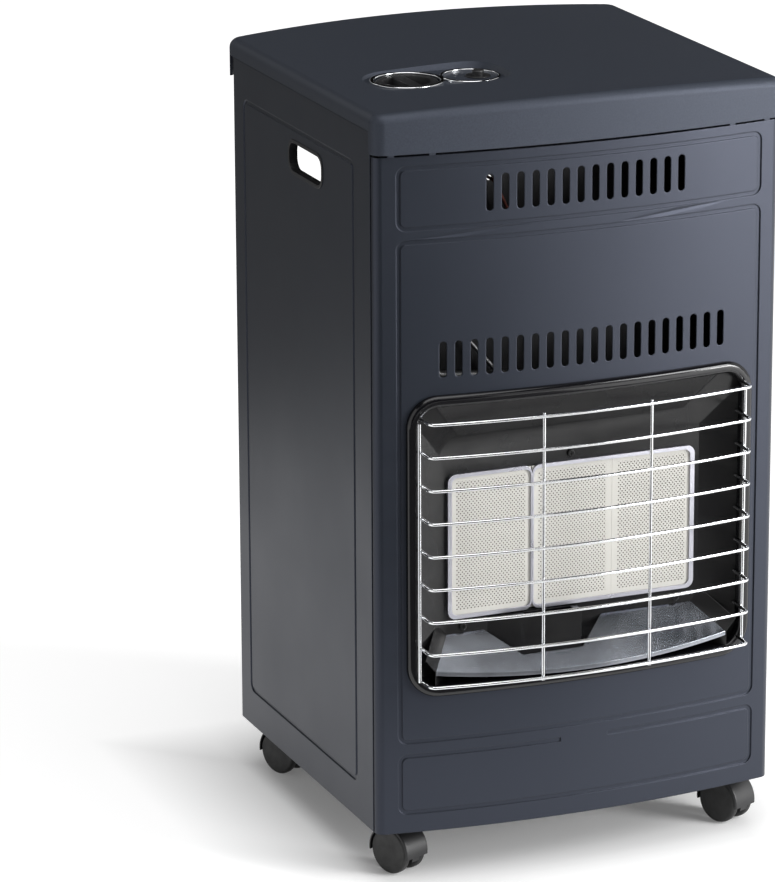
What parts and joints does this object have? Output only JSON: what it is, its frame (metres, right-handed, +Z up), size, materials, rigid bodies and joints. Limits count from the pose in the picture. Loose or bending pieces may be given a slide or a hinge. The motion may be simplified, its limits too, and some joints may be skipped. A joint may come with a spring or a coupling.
{
  "type": "cabinet gas heater",
  "caption": "Portable cabinet gas heater on swivel casters, with a ceramic-plaque radiant burner behind a wire guard and the controls in its lid.",
  "frame": {"origin": "on the floor, under the middle of the footprint", "axes": "+Z up; -Y is the front with the guard; +X to the right of someone who faces the front of the heater"},
  "size_m": [0.408, 0.4366, 0.7444],
  "materials": {
    "cabinet_paint": "satin dark blue-grey powder coat",
    "inner_steel": "plain grey steel inside the cabinet",
    "lid_plastic": "fine-grained dark grey moulding",
    "black_plastic": "black moulding",
    "wheel_plastic": "hard black nylon",
    "black_enamel": "glossy black heat-proof enamel",
    "ceramic_white": "cream perforated burner ceramic",
    "bright_steel": "bright sheet steel",
    "chrome": "bright plated",
    "cast_alloy": "cast, blasted",
    "brass": "machined",
    "pipe_metal": "drawn tube",
    "lead_rubber": "silicone-covered lead"
  },
  "bodies": {
    "cabinet": {"base_plate": "inner_steel", "burner_body": "inner_steel", "burner_rim_left": "bright_steel", "burner_rim_right": "bright_steel", "caster_sockets": "bright_steel", "control_bezel": "chrome", "control_bracket": "inner_steel", "feed_pipe_left": "pipe_metal", "feed_pipe_right": "pipe_metal", "firebox_liner": "black_enamel", "firebox_screws": "bright_steel", "front_panel": "cabinet_paint", "gas_inlet_nozzle": "brass", "gas_manifold": "cast_alloy", "gas_valve": "cast_alloy", "guard_grille": "chrome", "hand_grip_left": "black_plastic", "hand_grip_right": "black_plastic", "heat_shield": "inner_steel", "igniter_body": "black_plastic", "injectors": "brass", "mixing_tube_left": "bright_steel", "mixing_tube_right": "bright_steel", "pilot_burner": "bright_steel", "pilot_shield": "black_enamel", "pilot_tube": "pipe_metal", "plaque_left": "ceramic_white", "plaque_middle": "ceramic_white", "plaque_right": "ceramic_white", "rail_screws": "bright_steel", "rear_rail": "cabinet_paint", "reflector_tray": "bright_steel", "side_panel_left": "cabinet_paint", "side_panel_right": "cabinet_paint", "spark_electrode": "bright_steel", "spark_lead": "lead_rubber", "thermocouple": "bright_steel", "top_cover": "lid_plastic", "tray_end_left": "black_enamel", "tray_end_right": "black_enamel", "valve_screws": "bright_steel", "valve_spring": "bright_steel", "window_surround": "black_enamel"},
    "swivel_front_left": {"caster_hood_front_left": "black_plastic"},
    "wheels_front_left": {"caster_wheels_front_left": "wheel_plastic"},
    "swivel_front_right": {"caster_hood_front_right": "black_plastic"},
    "wheels_front_right": {"caster_wheels_front_right": "wheel_plastic"},
    "swivel_rear_left": {"caster_hood_rear_left": "black_plastic"},
    "wheels_rear_left": {"caster_wheels_rear_left": "wheel_plastic"},
    "swivel_rear_right": {"caster_hood_rear_right": "black_plastic"},
    "wheels_rear_right": {"caster_wheels_rear_right": "wheel_plastic"},
    "knob_press": {"press_sleeve": "bright_steel"},
    "knob": {"control_knob": "black_plastic", "valve_spindle": "brass"},
    "spark_button": {"igniter_button": "black_plastic"},
    "rear_cover": {"rear_cover": "cabinet_paint"}
  },
  "joints": [
    {"name": "caster_front_left_swivel", "type": "hinge", "parent": "cabinet", "child": "swivel_front_left", "pos_m": [-0.171, -0.1137, 0.06], "axis": [0, 0, 1], "continuous": true},
    {"name": "caster_front_left_roll", "type": "hinge", "parent": "swivel_front_left", "child": "wheels_front_left", "pos_m": [-0.16449, -0.12832, 0.022], "axis": [0.9135, 0.4067, 0], "continuous": true},
    {"name": "caster_front_right_swivel", "type": "hinge", "parent": "cabinet", "child": "swivel_front_right", "pos_m": [0.171, -0.1137, 0.06], "axis": [0, 0, 1], "continuous": true},
    {"name": "caster_front_right_roll", "type": "hinge", "parent": "swivel_front_right", "child": "wheels_front_right", "pos_m": [0.17751, -0.12832, 0.022], "axis": [0.9135, 0.4067, 0], "continuous": true},
    {"name": "caster_rear_left_swivel", "type": "hinge", "parent": "cabinet", "child": "swivel_rear_left", "pos_m": [-0.171, 0.1763, 0.06], "axis": [0, 0, 1], "continuous": true},
    {"name": "caster_rear_left_roll", "type": "hinge", "parent": "swivel_rear_left", "child": "wheels_rear_left", "pos_m": [-0.16449, 0.16168, 0.022], "axis": [0.9135, 0.4067, 0], "continuous": true},
    {"name": "caster_rear_right_swivel", "type": "hinge", "parent": "cabinet", "child": "swivel_rear_right", "pos_m": [0.171, 0.1763, 0.06], "axis": [0, 0, 1], "continuous": true},
    {"name": "caster_rear_right_roll", "type": "hinge", "parent": "swivel_rear_right", "child": "wheels_rear_right", "pos_m": [0.17751, 0.16168, 0.022], "axis": [0.9135, 0.4067, 0], "continuous": true},
    {"name": "knob_push", "type": "slide", "parent": "cabinet", "child": "knob_press", "axis": [0, 0, -1], "range_m": [0, 0.004], "stiffness_N_per_m": 900, "springref_m": -0.002, "deforming": ["valve_spring"]},
    {"name": "knob_turn", "type": "hinge", "parent": "knob_press", "child": "knob", "pos_m": [-0.1215, -0.0517, 0.738], "axis": [0, 0, -1], "range_deg": [0, 270]},
    {"name": "spark_push", "type": "slide", "parent": "cabinet", "child": "spark_button", "axis": [0, 0, -1], "range_m": [0, 0.005], "stiffness_N_per_m": 1200, "springref_m": -0.002},
    {"name": "rear_cover_pull", "type": "slide", "parent": "cabinet", "child": "rear_cover", "axis": [0, 1, 0], "range_m": [0, 0.25]}
  ]
}
